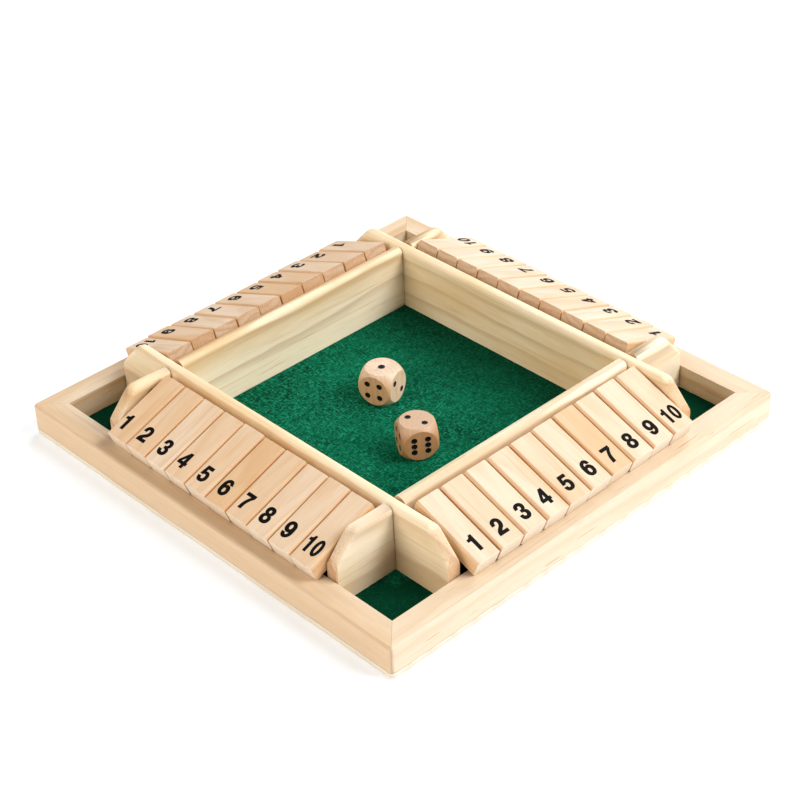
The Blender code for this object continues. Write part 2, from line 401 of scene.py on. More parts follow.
@dataclass(frozen=True)
class Plank:
    """How a wooden piece was sawn: the lay of its grain, and where the tree's heart was.

    Attributes:
        lay: The directions of grain and width.
        heart: The heart's distance from the piece's middle, across and through the plank.
        seed: Tells this plank's figure from the others.
        tone: The plank's own tone, from -1 pale to 1 deep.
        far_end: How much of the end grain's tint the end along the grain keeps.
        sanded: How much paler the end along the grain is, from 0 to 1: partly sanding, partly painted
            light.
        near_end: How much of the end grain's tint the other end keeps.
        rise: How much deeper the tone is at the plank's far edge than in its middle: the wood's own on a
            wall, painted shade on the south rail's outer face.
        starts: Where along the tree the plank was cut, from and to, in metres.
        heart_shares: How the heart's distance varies, from and to.
        turning: How squarely a face has to turn to a direction to count for it, from and to.
        plain_side: How much of its tint a standing block's plain side keeps.
    """

    lay: Lay
    heart: tuple[float, float]
    seed: int
    tone: float = 0.0
    far_end: float = 1.0
    sanded: float = 0.0
    near_end: float = 1.0
    rise: float = 0.0
    starts: tuple[float, float] = (1.0, 9.0)
    heart_shares: tuple[float, float] = (0.8, 1.25)
    turning: tuple[float, float] = (0.3, 0.9)
    plain_side: float = 0.25

    def mark(self, mesh: bpy.types.Mesh, to_east: Optional[Matrix] = None) -> None:
        """Writes the plank's own coordinates and its end and side faces on a mesh.

        Args:
            mesh: The piece's mesh.
            to_east: The turn that carries the mesh to the east side, where the lay is given.
        """
        chance = random.Random(self.seed)
        place = to_east or Matrix.Identity(4)
        along, across = self.lay.along, self.lay.across
        through = along.cross(across)
        start = chance.uniform(*self.starts)
        heart_across = self.heart[0] * chance.uniform(*self.heart_shares)
        heart_through = self.heart[1] * chance.uniform(*self.heart_shares)
        spots = [place @ vert.co for vert in mesh.vertices]
        low = Vector([min(spot[axis] for spot in spots) for axis in range(3)])
        high = Vector([max(spot[axis] for spot in spots) for axis in range(3)])
        middle = (low + high) / 2
        grain: list[float] = []
        for spot in spots:
            out = spot - middle
            grain += [out.dot(along) + start, out.dot(across) + heart_across]
            grain.append(out.dot(through) + heart_through)
        turn = place.to_3x3()
        ends, sides, lit_end_shares = [], [], []
        for face in mesh.polygons:
            normal = turn @ face.normal
            # The far end is made paler: partly sanding, partly painted light
            lit_end_shares.append(self.sanded * smooth_step(normal.dot(along), 0.5, 0.9))
            kept = self.far_end if normal.dot(along) > 0 else self.near_end
            ends.append(kept * smooth_step(abs(normal.dot(along)), *self.turning))
            if self.lay is Lay.BLOCK:
                # Two sides of the standing block are tinted warmer and deeper, as if cut along the rings;
                # on the die this is partly painted shade on the sides that look away from the key light
                ringed_and_shaded = smooth_step(abs(normal.dot(through)), *self.turning)
                sides.append((1.0 - ends[-1]) * (self.plain_side + (1.0 - self.plain_side) * ringed_and_shaded))
            elif self.lay is Lay.LYING_BLOCK:
                # All four sides of the lying block run with the grain
                sides.append(1.0 - ends[-1])
            else:
                sides.append(smooth_step(abs(normal.dot(across)), *self.turning))
        half = (high - middle).dot(across)
        tones = [self.tone + self.rise * (spot - middle).dot(across) / half for spot in spots]
        mesh.attributes.new("grain", "FLOAT_VECTOR", "POINT").data.foreach_set("vector", grain)
        for name, values in (("end_grain", ends), ("side_grain", sides), ("sanded_end", lit_end_shares)):
            mesh.attributes.new(name, "FLOAT", "FACE").data.foreach_set("value", values)
        mesh.attributes.new("tone", "FLOAT", "POINT").data.foreach_set("value", tones)


@dataclass(frozen=True)
class SawnWood:
    """Softwood or beech, sawn, sanded and left bare or thinly waxed.

    Attributes:
        name: The material's name.
        early: The wide pale part of each growth ring.
        late: The narrow dark part of each ring.
        deep: The tone that a deep plank leans to.
        end: What end grain is tinted by.
        ring: The distance from ring to ring, in metres.
        ring_depth: How strongly the dark part shows.
        ring_edge: Where the dark part ends again, from 0 to 1: near 1 is a sharp line.
        taper: How far the rings shift for each metre along the grain, in metres.
        wander: How far the rings wander, in metres.
        streak: The colour of long thin streaks.
        streak_depth: How strongly they show.
        fleck_depth: How strongly short flecks of the same colour show.
        fibre: The width of a fibre bundle, in metres.
        roughness: The mean roughness.
        side: What the planks' narrow faces are tinted by.
        sanded_end: The greyish pink that a paler end leans to: partly sanding, partly painted light.
        cloud: The width of the slow clouds of the deep tone, in metres.
        pores: How much darker the open cells of end grain are, from 0 to 1.
        end_depth: How much more strongly the rings show on end grain.
        ring_start: Where in a ring the dark part begins to rise, from 0 to 1.
        fibre_depth: How strongly fibres show.
        relief: How high the fibres and the dark rings stand, in metres.
        shine: How far the roughness varies with the fibres.
    """

    name: str
    early: str
    late: str
    deep: str
    end: str
    ring: float
    ring_depth: float
    ring_edge: float
    taper: float
    wander: float
    streak: str
    streak_depth: float
    fleck_depth: float
    fibre: float
    roughness: float
    side: str = "#FFFFFF"
    sanded_end: str = "#E6DDCC"
    cloud: float = 11.0 * MM
    pores: float = 0.2
    end_depth: float = 0.0
    ring_start: float = 0.1
    fibre_depth: float = 0.09
    relief: float = 0.05 * MM
    shine: float = 0.08

    def make(self) -> bpy.types.Material:
        """Builds the material on the piece's own plank coordinates.

        Returns:
            The material.
        """
        material, tree, shader = open_material(self.name)
        grain = add_node(tree, "Attribute", {"attribute_name": "grain"}, output="Vector")
        end, side, pale, tone = (
            add_node(tree, "Attribute", {"attribute_name": name}, output="Fac")
            for name in ("end_grain", "side_grain", "sanded_end", "tone")
        )

        # Each kind of noise has its cells in a metre, along and across the grain, its detail and
        # its roughness. In millimetres the rings drift over 71 by 14 and ripple over 18 by 4, a
        # streak is 110 by 2, a fleck 21 by 1 and an open cell of the end grain 3 by 0.4
        cloud, bundle = 1.0 / self.cloud, 1.0 / self.fibre
        noises: list[Socket] = []
        for along, across, detail, roughness in (
            (14.0, 70.0, 1.5, 0.5),
            (55.0, 260.0, 1.0, 0.5),
            (9.0, 520.0, 2.0, 0.55),
            (48.0, 900.0, 1.0, 0.5),
            (0.25 * cloud, cloud, 2.0, 0.5),
            (0.03 * bundle, bundle, 3.0, 0.6),
            (300.0, 2400.0, 2.0, 0.5),
        ):
            place = add_node(tree, "VectorMath", TIMES, {0: grain, 1: (along, across, across)})
            cells = {"Vector": place, "Scale": 1.0, "Detail": detail, "Roughness": roughness}
            noises.append(add_node(tree, "TexNoise", values=cells))
        drift, ripple, streaks, flecks, clouds, fibres, speckle = noises

        # Growth rings: the distance from the heart, which wanders slowly along the plank
        wander = add_node(tree, "Math", TIMES, {0: drift, 1: 2 * self.wander})
        wander = add_node(tree, "Math", TIMES_PLUS, {0: ripple, 1: 0.35 * self.wander, 2: wander})
        cross = add_node(tree, "VectorMath", TIMES, {0: grain, 1: (0.0, 1.0, 1.0)})
        radius = add_node(tree, "VectorMath", {"operation": "LENGTH"}, {0: cross})
        slant = (self.taper, 0.0, 0.0)
        taper = add_node(tree, "VectorMath", {"operation": "DOT_PRODUCT"}, {0: grain, 1: slant})
        depth = add_node(tree, "Math", PLUS, {0: radius, 1: taper})
        depth = add_node(tree, "Math", PLUS, {0: depth, 1: wander})
        phase = add_node(tree, "Math", {"operation": "DIVIDE"}, {0: depth, 1: self.ring})
        within = add_node(tree, "Math", {"operation": "FRACT"}, {0: phase})
        number = add_node(tree, "Math", {"operation": "FLOOR"}, {0: phase})
        reach = {"Value": within, "From Min": self.ring_start, "From Max": self.ring_edge}
        rise = add_node(tree, "MapRange", SOFTLY, reach)
        reach = {"Value": within, "From Min": self.ring_edge, "To Min": 1.0, "To Max": 0.0}
        fall = add_node(tree, "MapRange", SOFTLY, reach)
        year = add_node(tree, "TexWhiteNoise", {"noise_dimensions": "1D"}, {"W": number}, "Value")
        reach = {"Value": year, "To Min": 0.35 * self.ring_depth, "To Max": self.ring_depth}
        strength = add_node(tree, "MapRange", values=reach)
        strength = add_node(tree, "Math", TIMES_PLUS, {0: end, 1: self.end_depth, 2: strength})
        steep = add_node(tree, "Math", {"operation": "POWER"}, {0: rise, 1: 1.8})
        shape = add_node(tree, "Math", TIMES, {0: steep, 1: fall})
        band = add_node(tree, "Math", {**TIMES, "use_clamp": True}, {0: shape, 1: strength})
        colour = add_node(tree, "Mix", BLEND, {0: band, 6: linear(self.early), 7: linear(self.late)})

        # Long thin streaks of resin or mineral colour, and short flecks where a canal was cut open
        for marks, low, high, strong in (
            (streaks, 0.56, 0.74, self.streak_depth),
            (flecks, 0.68, 0.76, self.fleck_depth),
        ):
            reach = {"Value": marks, "From Min": low, "From Max": high, "To Max": strong}
            picked = add_node(tree, "MapRange", SOFTLY, reach)
            colour = add_node(tree, "Mix", BLEND, {0: picked, 6: colour, 7: linear(self.streak)})

        # The plank's own tone, with slow clouds through it
        lean = add_node(tree, "Math", {**TIMES_PLUS, "use_clamp": True}, {0: tone, 1: 0.4, 2: clouds})
        reach = {"Value": lean, "From Min": 0.3, "From Max": 0.9, "To Max": 0.7}
        lean = add_node(tree, "MapRange", values=reach)
        colour = add_node(tree, "Mix", BLEND, {0: lean, 6: colour, 7: linear(self.deep)})

        # Fibre bundles are long on the faces and dots on the ends, whose open cells drink light
        shade = add_node(
            tree,
            "MapRange",
            values={
                "Value": fibres,
                "From Min": 0.3,
                "From Max": 0.7,
                "To Min": 1.0 - self.fibre_depth,
                "To Max": 1.0 + 0.4 * self.fibre_depth,
            },
        )
        reach = {"Value": speckle, "From Min": 0.35, "From Max": 0.6, "To Min": 1.0 - self.pores}
        pitted = add_node(tree, "MapRange", values=reach)
        for share, tint in (
            (1.0, shade),
            (end, pitted),
            (side, linear(self.side)),
            (end, linear(self.end)),
        ):
            colour = add_node(tree, "Mix", TINT, {0: share, 6: colour, 7: tint})
        # Sanded ends lean to a greyish pink, which also paints light on the tiles' outer ends
        colour = add_node(tree, "Mix", BLEND, {0: pale, 6: colour, 7: linear(self.sanded_end)})

        # Sanding leaves the hard dark rings standing and the fibres slightly open
        relief = add_node(tree, "Math", TIMES_PLUS, {0: band, 1: 0.6, 2: fibres})
        raised = {"Strength": 0.35, "Distance": self.relief, "Height": relief}
        bump = add_node(tree, "Bump", values=raised)
        dull, bright = self.roughness + self.shine, self.roughness - self.shine
        rough = add_node(tree, "MapRange", values={"Value": fibres, "To Min": bright, "To Max": dull})
        feed(tree, shader, {"Base Color": colour, "Normal": bump, "Roughness": rough})
        return material


@dataclass(frozen=True)
class Plywood:
    """Birch plywood, sawn to size: veneers glued crosswise, so its edge shows three plies.

    Attributes:
        face: The peeled face veneer.
        figure: The wavy figure on the face.
        core: The crosswise core ply, which shows its end grain on two edges.
        glue: The thin glue lines.
        ply: The thickness of a ply in metres.
        bands: The scale of the wave that draws bands about 12 mm apart.
        fibres: The fibres in a metre, along X and across it: each is 0.35 mm wide.
    """

    face: str = "#EFE6D8"
    figure: str = "#DCC6A6"
    core: str = "#E4D8C6"
    glue: str = "#B59B78"
    ply: float = 0.9 * MM
    bands: float = 26.0
    fibres: tuple[float, float, float] = (90.0, 2800.0, 2800.0)

    def make(self) -> bpy.types.Material:
        """Builds the material on Object coordinates.

        Returns:
            The material.
        """
        material, tree, shader = open_material("base board, sawn birch plywood")
        place = add_node(tree, "TexCoord", output="Object")
        height = add_node(tree, "SeparateXYZ", values={0: place}, output="Z")
        level = add_node(tree, "Math", {"operation": "DIVIDE"}, {0: height, 1: self.ply})
        # The core lies between the first and the second glue line
        off_centre = add_node(tree, "Math", {"operation": "SUBTRACT"}, {0: level, 1: 1.5})
        distance = add_node(tree, "Math", SIZE_OF, {0: off_centre})
        reach = {"Value": distance, "From Min": 0.45, "From Max": 0.55, "To Min": 1.0, "To Max": 0.0}
        in_core = add_node(tree, "MapRange", SOFTLY, reach)
        from_line = add_node(tree, "Math", {"operation": "SUBTRACT"}, {0: distance, 1: 0.5})
        near_line = add_node(tree, "Math", SIZE_OF, {0: from_line})
        reach = {"Value": near_line, "From Min": 0.02, "From Max": 0.1, "To Min": 0.45, "To Max": 0.0}
        on_line = add_node(tree, "MapRange", SOFTLY, reach)
        # Peeled veneer shows wide wavy bands
        waves = {"Vector": place, "Scale": self.bands, "Distortion": 6.0}
        waves |= {"Detail": 2.0, "Detail Scale": 0.6}
        bands = add_node(tree, "TexWave", {"bands_direction": "Y"}, waves, "Fac")
        reach = {"Value": bands, "From Min": 0.4, "From Max": 1.0, "To Max": 0.55}
        figured = add_node(tree, "MapRange", values=reach)
        colour = add_node(tree, "Mix", BLEND, {0: figured, 6: linear(self.face), 7: linear(self.figure)})
        for share, tint in ((in_core, self.core), (on_line, self.glue)):
            colour = add_node(tree, "Mix", BLEND, {0: share, 6: colour, 7: linear(tint)})
        stretched = add_node(tree, "VectorMath", TIMES, {0: place, 1: self.fibres})
        fibres = add_node(tree, "TexNoise", values={"Vector": stretched, "Scale": 1.0, "Detail": 3.0})
        reach = {"Value": fibres, "From Min": 0.3, "From Max": 0.7, "To Min": 0.88, "To Max": 1.04}
        shade = add_node(tree, "MapRange", values=reach)
        colour = add_node(tree, "Mix", TINT, {0: 1.0, 6: colour, 7: shade})
        bump = add_node(tree, "Bump", values={"Strength": 0.4, "Distance": 0.05 * MM, "Height": fibres})
        feed(tree, shader, {"Base Color": colour, "Normal": bump, "Roughness": 0.66})
        return material


@dataclass(frozen=True)
class NeedledFelt:
    """Green polyester craft felt, needled: a short mat of tangled fibres with paler ones on top.

    Attributes:
        ground: The mat's own green.
        shade: The green between the fibres.
        fibre: The palest fibres, which catch the light.
        sheen: The colour of the soft shine at a low angle.
        strand_width: The width of the strands that show, in metres.
        strand_length: Their length, in metres.
        tufts: Tufts in a metre: the mat is thicker or thinner every 4 mm.
        patches: Patches in a metre: hands rub the mat one way or the other every 40 mm.
        curls: Bends of the strands in a metre, one about every 6 mm.
        curl: How far they bend, in metres.
        well_half: Half the width of the dice well, in metres: outside it the felt is painted in shade.
        nap: How strongly the mat shows in the south and in the north: painted light to the south, painted
            shade to the north.
        unworn: How much of that is left outside the well, as painted shade in the corner pockets.
    """

    ground: str = "#005338"
    shade: str = "#003421"
    fibre: str = "#1F9570"
    sheen: str = "#58C49A"
    strand_width: float = 0.44 * MM
    strand_length: float = 2.4 * MM
    tufts: float = 240.0
    patches: float = 25.0
    curls: float = 170.0
    curl: float = 3.0 * MM
    well_half: float = 75.0 * MM
    nap: tuple[float, float] = (1.6, 0.4)
    unworn: float = 0.1

    def worn(self, tree: bpy.types.NodeTree, place: Socket) -> Socket:
        """Says how strongly the mat shows: painted light to the south of the well, painted shade to the
        north and outside the well.

        Args:
            tree: The felt's node tree.
            place: The Object coordinates.

        Returns:
            The strength, above 1 where the painted light makes the felt palest.
        """
        east, north = (add_node(tree, "SeparateXYZ", values={0: place}, output=axis) for axis in "XY")
        bright, dim = self.nap
        half = self.well_half
        # Painted light to the south and painted shade to the north, where the walls' shadows fall
        reach = {"Value": north, "From Min": -0.1 * half, "From Max": 0.95 * half}
        nap = add_node(tree, "MapRange", SOFTLY, {**reach, "To Min": bright, "To Max": dim})
        to_side, to_end = (add_node(tree, "Math", SIZE_OF, {0: axis}) for axis in (east, north))
        outward = add_node(tree, "Math", {"operation": "MAXIMUM"}, {0: to_side, 1: to_end})
        # Painted shade in the corner pockets outside the well
        reach = {"Value": outward, "From Min": half, "From Max": 1.05 * half}
        shaded_outside_well = add_node(tree, "MapRange", values={**reach, "To Min": 1.0, "To Max": self.unworn})
        return add_node(tree, "Math", TIMES, {0: nap, 1: shaded_outside_well})

    def make(self) -> bpy.types.Material:
        """Builds the material on Object coordinates.

        Returns:
            The material.
        """
        material, tree, shader = open_material("tray lining, needled green felt")
        place = add_node(tree, "TexCoord", output="Object")
        cells = {"Vector": place, "Scale": self.tufts, "Detail": 3.0, "Roughness": 0.6}
        tufts = add_node(tree, "TexNoise", values=cells)
        cells = {"Vector": place, "Scale": self.patches, "Detail": 2.0}
        patches = add_node(tree, "TexNoise", values=cells)
        rubbed = add_node(tree, "Math", PLUS, {0: tufts, 1: patches})
        tufted = add_node(tree, "MapRange", values={"Value": rubbed, "From Min": 0.76, "From Max": 1.22})
        # The mat's green and its pale fibres both carry the painted light and shade
        worn = self.worn(tree, place)
        shown = add_node(tree, "Math", TIMES, {0: tufted, 1: worn})
        colour = add_node(tree, "Mix", BLEND, {0: shown, 6: linear(self.shade), 7: linear(self.ground)})

        # The fibres curl: slow noise bends the lie of the strands
        cells = {"Vector": place, "Scale": self.curls, "Detail": 1.0}
        bends = add_node(tree, "TexNoise", values=cells, output="Color")
        curled = add_node(tree, "VectorMath", TIMES_PLUS, {0: bends, 1: (self.curl,) * 3, 2: place})
        # Single fibres are finer than the render shows, so the strands are as coarse as it needs
        thin, long = 1.0 / self.strand_width, 1.0 / self.strand_length
        layers: list[Socket] = []
        for stretch in ((long, thin, thin), (thin, long, thin)):
            laid = add_node(tree, "VectorMath", TIMES, {0: curled, 1: stretch})
            cells = {"Vector": laid, "Scale": 1.0, "Detail": 0.6, "Roughness": 0.6}
            reach = {"Value": add_node(tree, "TexNoise", values=cells), "From Min": 0.51, "From Max": 0.74}
            layers.append(add_node(tree, "MapRange", SOFTLY, reach))
        on_top = add_node(tree, "Math", {"operation": "MAXIMUM"}, {0: layers[0], 1: layers[1]})
        raised = add_node(tree, "Math", TIMES, {0: on_top, 1: 0.52})
        caught = add_node(tree, "Math", TIMES, {0: raised, 1: worn})
        colour = add_node(tree, "Mix", BLEND, {0: caught, 6: colour, 7: linear(self.fibre)})
        height = add_node(tree, "Math", TIMES_PLUS, {0: on_top, 1: 0.5, 2: tufts})
        bump = add_node(tree, "Bump", values={"Strength": 0.7, "Distance": 0.3 * MM, "Height": height})
        feed(tree, shader, {"Base Color": colour, "Normal": bump, "Roughness": 0.95})
        feed(tree, shader, {"Specular IOR Level": 0.04, "Sheen Weight": 0.07, "Sheen Roughness": 0.5})
        feed(tree, shader, {"Sheen Tint": linear(self.sheen)})
        return material


@dataclass(frozen=True)
class DrawnSteel:
    """Bright drawn steel wire: the die leaves fine lines along it and a soft grey shine.

    Attributes:
        colour: The bare metal.
        scuffs: Scuffs in a metre, each about 1 mm wide.
        roughness: The roughness, from and to.
    """

    colour: str = "#B4B1AB"
    scuffs: float = 900.0
    roughness: tuple[float, float] = (0.22, 0.44)

    def make(self) -> bpy.types.Material:
        """Builds the material on Object coordinates.

        Returns:
            The material.
        """
        material, tree, shader = open_material("tile rods, drawn steel wire")
        place = add_node(tree, "TexCoord", output="Object")
        cells = {"Vector": place, "Scale": self.scuffs, "Detail": 2.0}
        scuffs = add_node(tree, "TexNoise", values=cells)
        bright, dull = self.roughness
        rough = add_node(tree, "MapRange", values={"Value": scuffs, "To Min": bright, "To Max": dull})
        feed(tree, shader, {"Base Color": linear(self.colour), "Metallic": 1.0, "Roughness": rough})
        return material


@dataclass(frozen=True)
class BlackPrint:
    """Black screen ink or pip lacquer: a thin matt coat that lets the wood's pores show.

    Attributes:
        name: The material's name.
        full: The colour where the coat is full.
        thin: The colour where the pores thin it.
        roughness: The coat's roughness.
        specular: How strongly it mirrors: matt ink far less than lacquer.
        pores: Pores in a metre, about 0.3 mm apart.
    """

    name: str
    full: str = "#060607"
    thin: str = "#14110F"
    roughness: float = 0.66
    specular: float = 0.1
    pores: float = 3300.0

    def make(self) -> bpy.types.Material:
        """Builds the material on Object coordinates.

        Returns:
            The material.
        """
        material, tree, shader = open_material(self.name)
        place = add_node(tree, "TexCoord", output="Object")
        cells = {"Vector": place, "Scale": self.pores, "Detail": 2.0}
        pores = add_node(tree, "TexNoise", values=cells)
        picked = add_node(tree, "MapRange", values={"Value": pores, "From Min": 0.5, "From Max": 0.75})
        colour = add_node(tree, "Mix", BLEND, {0: picked, 6: linear(self.full), 7: linear(self.thin)})
        coat = {"Base Color": colour, "Roughness": self.roughness, "Specular IOR Level": self.specular}
        feed(tree, shader, coat)
        return material


# Pine, planed and sanded, bare: pinkish cream with soft wide rings and thin red-brown streaks
RAIL_PINE = SawnWood(
    name="rails, planed pine",
    early="#E3CFB4",
    late="#C99C66",
    deep="#D6B48C",
    end="#EAD9CA",
    ring=7.0 * MM,
    ring_depth=0.62,
    ring_edge=0.72,
    taper=0.02,
    wander=4.0 * MM,
    streak="#B06C3E",
    streak_depth=0.26,
    fleck_depth=0.45,
    fibre=0.34 * MM,
    roughness=0.58,
)
# The walls were sawn so that wide rings run along their faces as tan streaks
WALL_PINE = SawnWood(
    name="walls, planed pine",
    early="#FBECD0",
    late="#AE7F4A",
    deep="#E4BE82",
    end="#E9D4C4",
    ring=9.0 * MM,
    ring_depth=0.58,
    ring_start=0.4,
    ring_edge=0.9,
    taper=0.012,
    wander=3.0 * MM,
    streak="#C2935A",
    streak_depth=0.3,
    fleck_depth=0.3,
    fibre=0.36 * MM,
    roughness=0.56,
)
# Finer pine for the tiles, tumbled smooth: nearly plain tops, pinkish ends with fine rings
TILE_PINE = SawnWood(
    name="number tiles, tumbled pine",
    early="#E7D0B6",
    late="#CFA77C",
    deep="#D6A873",
    end="#E6D8CC",
    side="#FBEAD2",
    pores=0.22,
    ring=3.2 * MM,
    ring_depth=0.42,
    end_depth=0.3,
    ring_edge=0.85,
    taper=0.06,
    wander=2.2 * MM,
    streak="#C48F5A",
    streak_depth=0.25,
    fleck_depth=0.25,
    fibre=0.32 * MM,
    roughness=0.52,
)
# Beech for the dice, tumbled: pinkish beige with small flecks and a faint polish; its sides are tinted
# deeper, partly as painted shade
DIE_BEECH = SawnWood(
    name="dice, tumbled beech",
    early="#EAD2B8",
    late="#CFA27E",
    deep="#C09A78",
    cloud=4.0 * MM,
    end="#FFFFFF",
    side="#F6D8BC",
    pores=0.08,
    ring=2.0 * MM,
    ring_depth=0.3,
    ring_edge=0.8,
    taper=0.1,
    wander=1.8 * MM,
    streak="#B87C58",
    streak_depth=0.3,
    fleck_depth=0.3,
    fibre=0.36 * MM,
    fibre_depth=0.14,
    roughness=0.45,
)


@dataclass
class Tray:
    """The tray: base board, felt lining, four rails, four walls and four rods."""

    side: float = 222.0 * MM
    corner_radius: float = 2.0 * MM
    base_thickness: float = 2.7 * MM
    base_edge: float = 0.25 * MM
    felt_side: float = 198.8 * MM
    felt_bottom: float = 3.0 * MM
    felt_thickness: float = 1.12 * MM
    felt_cells: int = 180
    felt_unevenness: float = 0.07 * MM
    mitre_gap: float = 0.17 * MM
    mitre_reach: float = 0.3 * MM
    rail_heart: tuple[float, float] = (24.0 * MM, -30.0 * MM)
    rail_seed: int = 11
    wall_seed: int = 31
    rod_diameter: float = 3.0 * MM
    rod_length: float = 135.8 * MM
    rod_edge: float = 0.3 * MM
    rod_place: tuple[float, float] = (81.2 * MM, 28.2 * MM)

    def build_base(self, material: bpy.types.Material) -> bpy.types.Object:
        """Builds the plywood base board with rounded corners and a broken edge.

        Args:
            material: Its plywood.

        Returns:
            The piece.
        """
        bm = bmesh.new()
        bmesh.ops.create_cube(bm, size=1.0)
        bmesh.ops.scale(bm, vec=(self.side, self.side, self.base_thickness), verts=bm.verts[:])
        bmesh.ops.translate(bm, vec=(0.0, 0.0, self.base_thickness / 2), verts=bm.verts[:])
        bevel(bm, [edge for edge in bm.edges if drop(edge) > MM], self.corner_radius, 6)
        bevel(bm, [edge for edge in bm.edges if drop(edge) < LEVEL], self.base_edge, 2)
        mesh = close_mesh(bm, "base board")
        return show(mesh, "base_board_plywood", material, "tray", "base_board")

    def build_felt(self, material: bpy.types.Material) -> bpy.types.Object:
        """Builds the felt as one sheet with an uneven nap.

        Args:
            material: Its felt.

        Returns:
            The piece.
        """
        bm = bmesh.new()
        cells = self.felt_cells
        bmesh.ops.create_grid(bm, x_segments=cells, y_segments=cells, size=self.felt_side / 2)
        top = self.felt_bottom + self.felt_thickness
        for vert in bm.verts:
            # Hollows about 4 mm wide, with finer ones of about 1 mm on them
            spot = vert.co.copy()
            lift = noise.noise(spot * 260.0) + 0.6 * noise.noise(spot * 900.0)
            vert.co.z = top + self.felt_unevenness * lift
        mesh = close_mesh(bm, "felt lining", smooth_angle=180.0)
        piece = show(mesh, "felt_lining", material, "tray", "felt", even_normals=False)
        thickness = piece.modifiers.new("felt thickness", "SOLIDIFY")
        thickness.thickness = self.felt_thickness
        thickness.offset = -1.0
        return piece

    def close_mitres(self, mesh: bpy.types.Mesh, side: Side) -> None:
        """Brings a rail's mitred ends to a glued joint's hairline.

        Args:
            mesh: The rail's mesh.
            side: The rail's side.
        """
        to_east = side.turn.inverted()
        for vert in mesh.vertices:
            spot = to_east @ vert.co
            if abs(abs(spot.y) - spot.x) < self.mitre_reach:
                spot.y += math.copysign(self.mitre_gap, spot.y)
                vert.co = side.turn @ spot

    def build_rails(self, material: bpy.types.Material) -> None:
        """Dresses the four mitred rails.

        Args:
            material: Their pine.
        """
        for order, side in enumerate(Side):
            look, node = LOOKS[side], f"{side.word}_rail"
            mesh = carried_over(node, f"{side.word} rail")
            self.close_mitres(mesh, side)
            seed = self.rail_seed + order
            # The rail's tone is partly painted light and shade
            plank = Plank(Lay.RAIL, self.rail_heart, seed, tone=look.rail_tone, rise=look.rail_rise)
            plank.mark(mesh, side.turn.inverted())
            show(mesh, f"{node}_pine", material, "tray", node)

    def build_walls(self, material: bpy.types.Material) -> None:
        """Dresses the four walls that cross near their ends.

        Args:
            material: Their pine.
        """
        for order, side in enumerate(Side):
            look, node = LOOKS[side], f"{side.word}_wall"
            mesh = carried_over(node, f"{side.word} wall")
            seed = self.wall_seed + order
            # The wall's tone is partly painted light and shade
            plank = Plank(Lay.WALL, look.wall_heart, seed, tone=look.wall_tone, rise=look.wall_rise)
            plank.mark(mesh, side.turn.inverted())
            show(mesh, f"{node}_pine", material, "tray", node)

    def build_rods(self, material: bpy.types.Material) -> None:
        """Builds the four wire rods, round and with broken ends.

        Args:
            material: Their steel.
        """
        radius = self.rod_diameter / 2
        for side in Side:
            bm = bmesh.new()
            bmesh.ops.create_cone(
                bm, cap_ends=True, segments=28, radius1=radius, radius2=radius, depth=self.rod_length
            )
            bevel(bm, [edge for edge in bm.edges if drop(edge) < LEVEL], self.rod_edge, 2)
            lie_down = Matrix.Rotation(math.pi / 2, 4, "X")
            spot = Matrix.Translation((self.rod_place[0], 0.0, self.rod_place[1]))
            bmesh.ops.transform(bm, matrix=side.turn @ spot @ lie_down, verts=bm.verts[:])
            mesh = close_mesh(bm, f"{side.word} rod")
            show(mesh, f"{side.word}_rod_wire", material, "tray", f"{side.word}_rod")


